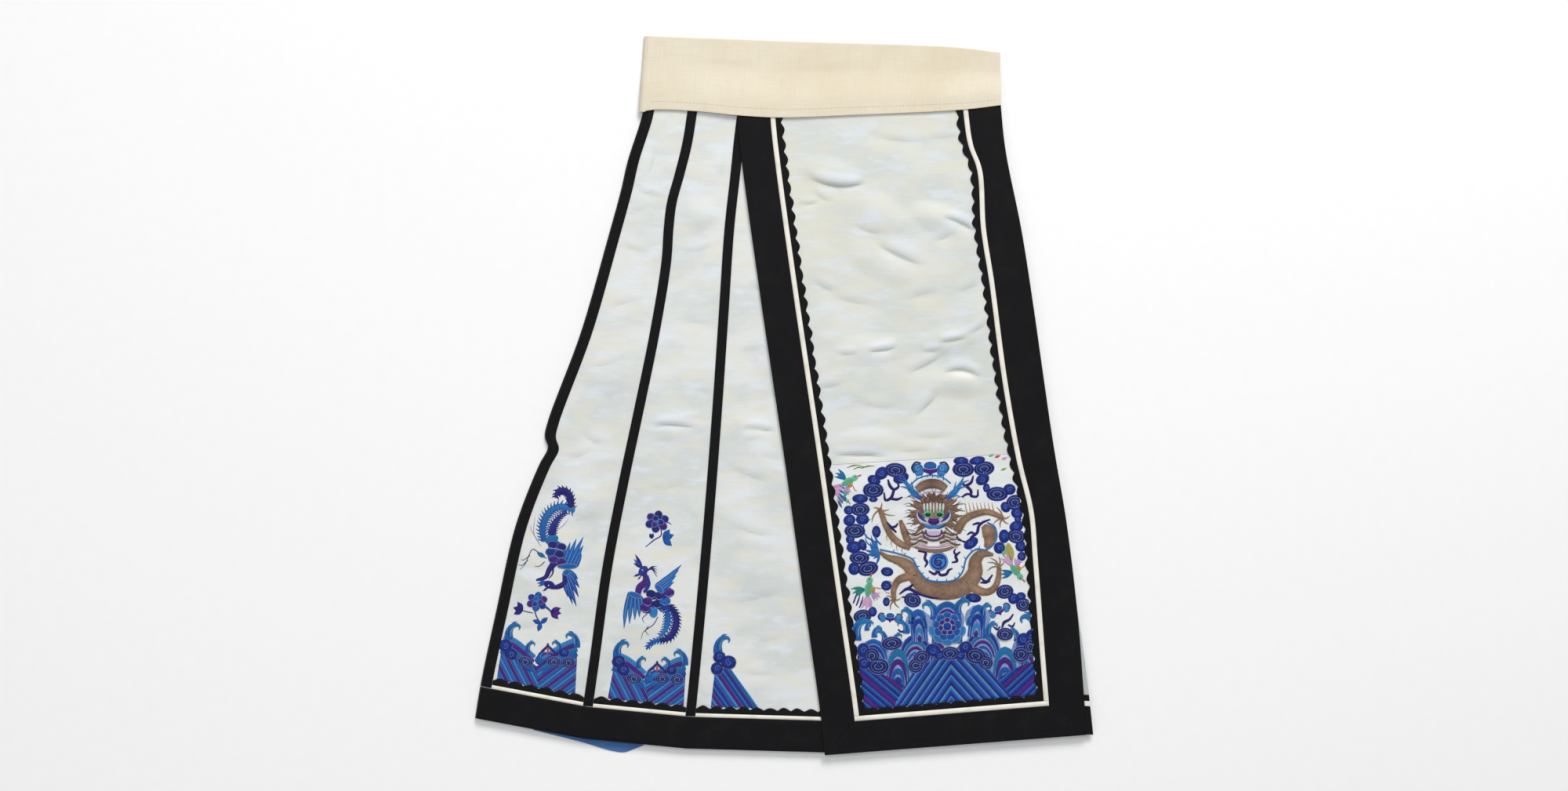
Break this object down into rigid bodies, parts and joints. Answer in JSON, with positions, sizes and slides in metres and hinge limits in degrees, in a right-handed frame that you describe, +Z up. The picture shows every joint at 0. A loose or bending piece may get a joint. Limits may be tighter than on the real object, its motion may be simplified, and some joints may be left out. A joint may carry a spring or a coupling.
{
  "type": "horse-face skirt",
  "caption": "Horse-face skirt of ivory satin with black bands and an embroidered face panel, laid flat and folded in half.",
  "frame": {"origin": "on the surface it lies on, under the middle of the laid skirt's bounding box", "axes": "+Y towards the waistband, +X towards the face panel's right side, +Z up from the surface"},
  "size_m": [0.8041, 0.935, 0.0131],
  "materials": {
    "gore_satin": "ivory silk satin with a soft sheen, backed with lining",
    "face_satin": "ivory silk satin, creased, a little yellowed towards the waist",
    "block_satin": "white silk satin embroidered in blue, purple, cyan and brown-gold silk",
    "black_satin": "black satin binding with a dull sheen",
    "cream_piping": "cream satin piping",
    "scalloped_trim": "black scalloped appliqué trim, satin",
    "waistband_cotton": "cream plain-weave cotton, matt, topstitched",
    "blue_lining": "blue plain-weave silk lining",
    "inner_cloth": "folded layers of satin and lining"
  },
  "bodies": {
    "root": {"hidden_layers": "inner_cloth", "lining_corner": "blue_lining", "waistband_front": "waistband_cotton", "waistband_inside": "waistband_cotton", "gore_1": "gore_satin", "gore_2": "gore_satin", "gore_3": "gore_satin", "gore_band_1": "black_satin", "gore_band_2": "black_satin", "gore_band_3": "black_satin", "gore_hem_band": "black_satin", "gore_piping_1": "cream_piping", "gore_piping_2": "cream_piping", "gore_piping_3": "cream_piping", "gore_scallop_1": "scalloped_trim", "gore_scallop_2": "scalloped_trim", "gore_scallop_3": "scalloped_trim", "face_upper": "face_satin", "face_block": "block_satin", "face_border_left": "black_satin", "face_border_right": "black_satin", "face_border_hem": "black_satin", "face_piping_left": "cream_piping", "face_piping_right": "cream_piping", "face_piping_hem": "cream_piping", "face_scallop_left": "scalloped_trim", "face_scallop_right": "scalloped_trim", "face_scallop_hem": "scalloped_trim", "under_gore_edge": "gore_satin", "under_hem_edge": "black_satin", "under_piping_edge": "cream_piping", "under_scallop_edge": "scalloped_trim"}
  },
  "joints": []
}
